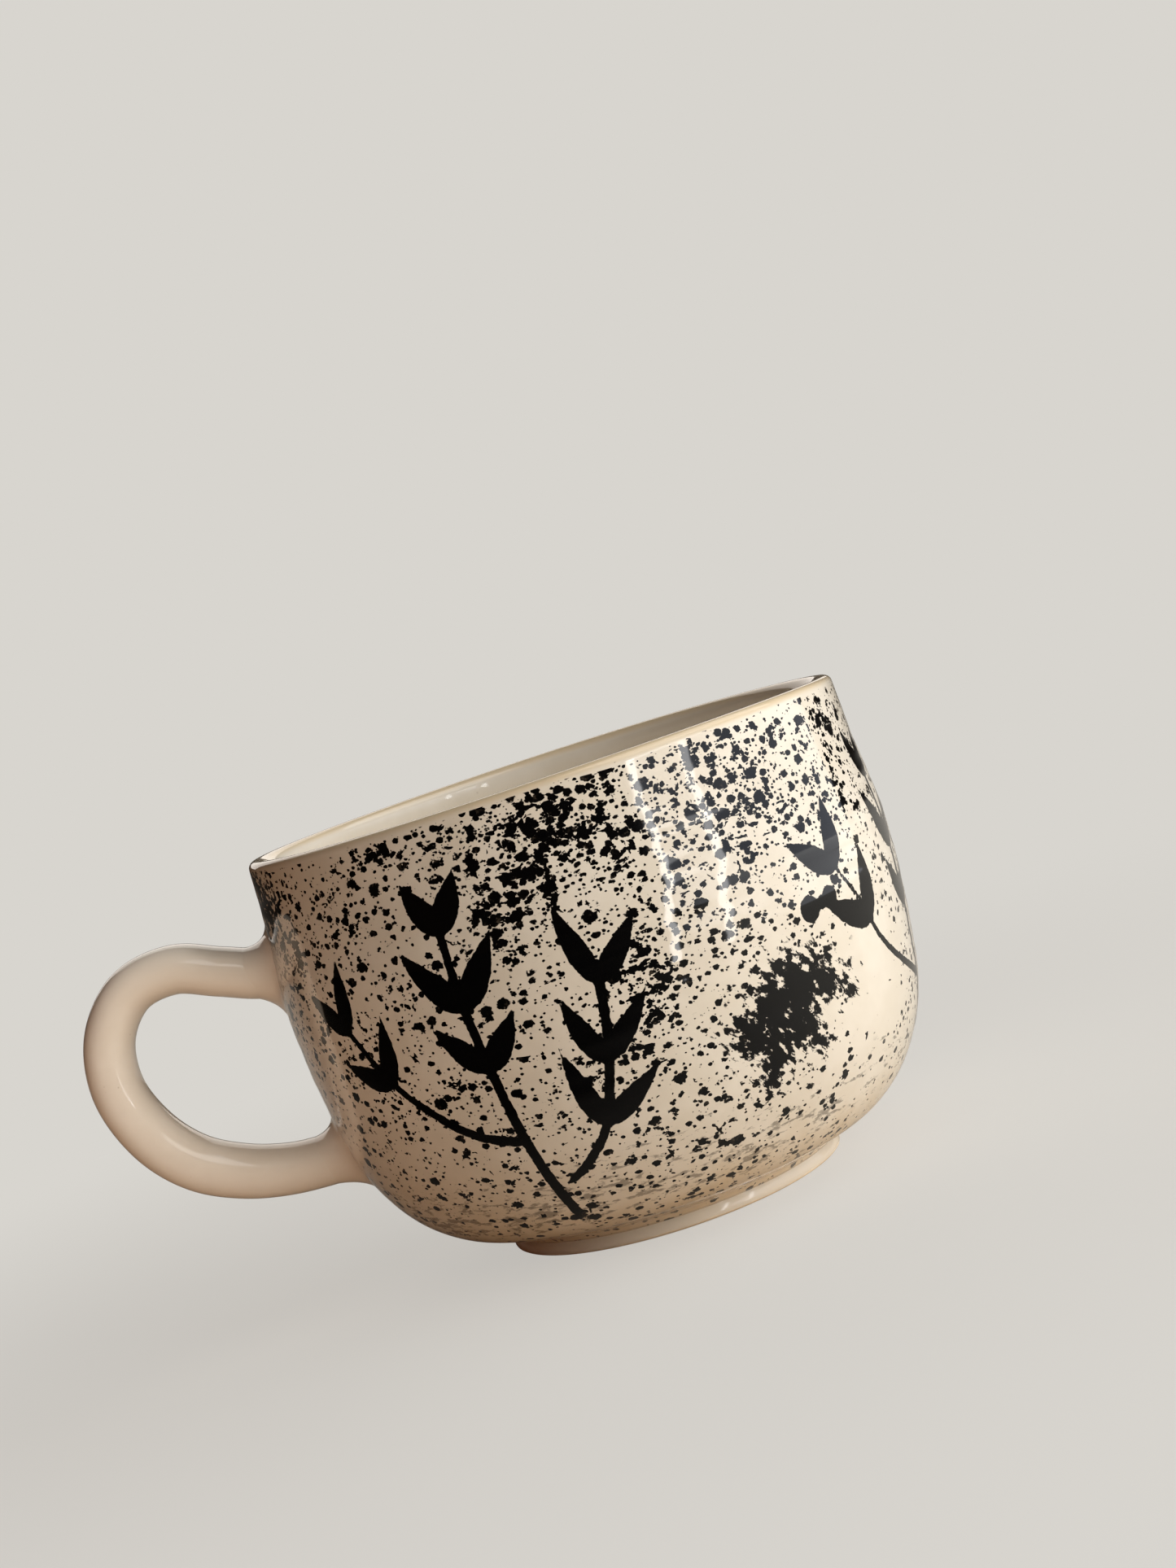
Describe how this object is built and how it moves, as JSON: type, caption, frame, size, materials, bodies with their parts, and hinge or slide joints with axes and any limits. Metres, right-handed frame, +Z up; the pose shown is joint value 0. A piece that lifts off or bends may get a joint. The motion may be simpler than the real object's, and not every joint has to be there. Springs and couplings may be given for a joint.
{
  "type": "mug",
  "caption": "Hand-thrown stoneware mug with a rounded belly, thin lip, turned foot ring and a pulled loop handle luted to the wall.",
  "frame": {"origin": "centre of the bottom of the whole mug's bounding box, on the plane the foot stands on; the cup's own axis is vertical and lies 18 mm towards +X of it", "axes": "+Z up along the cup's axis, -X towards the handle, +X to the side away from the handle"},
  "size_m": [0.1414, 0.1056, 0.076],
  "materials": {
    "painted_glaze": "clear gloss glaze over cream clay, with black underglaze painting and spatter",
    "plain_glaze": "clear gloss glaze over cream clay, unpainted",
    "bare_clay": "unglazed, turned and rubbed smooth"
  },
  "bodies": {
    "root": {"cup_body": "painted_glaze", "foot_ring": "bare_clay", "handle": "plain_glaze", "upper_handle_joint": "plain_glaze", "lower_handle_joint": "plain_glaze"}
  },
  "joints": []
}
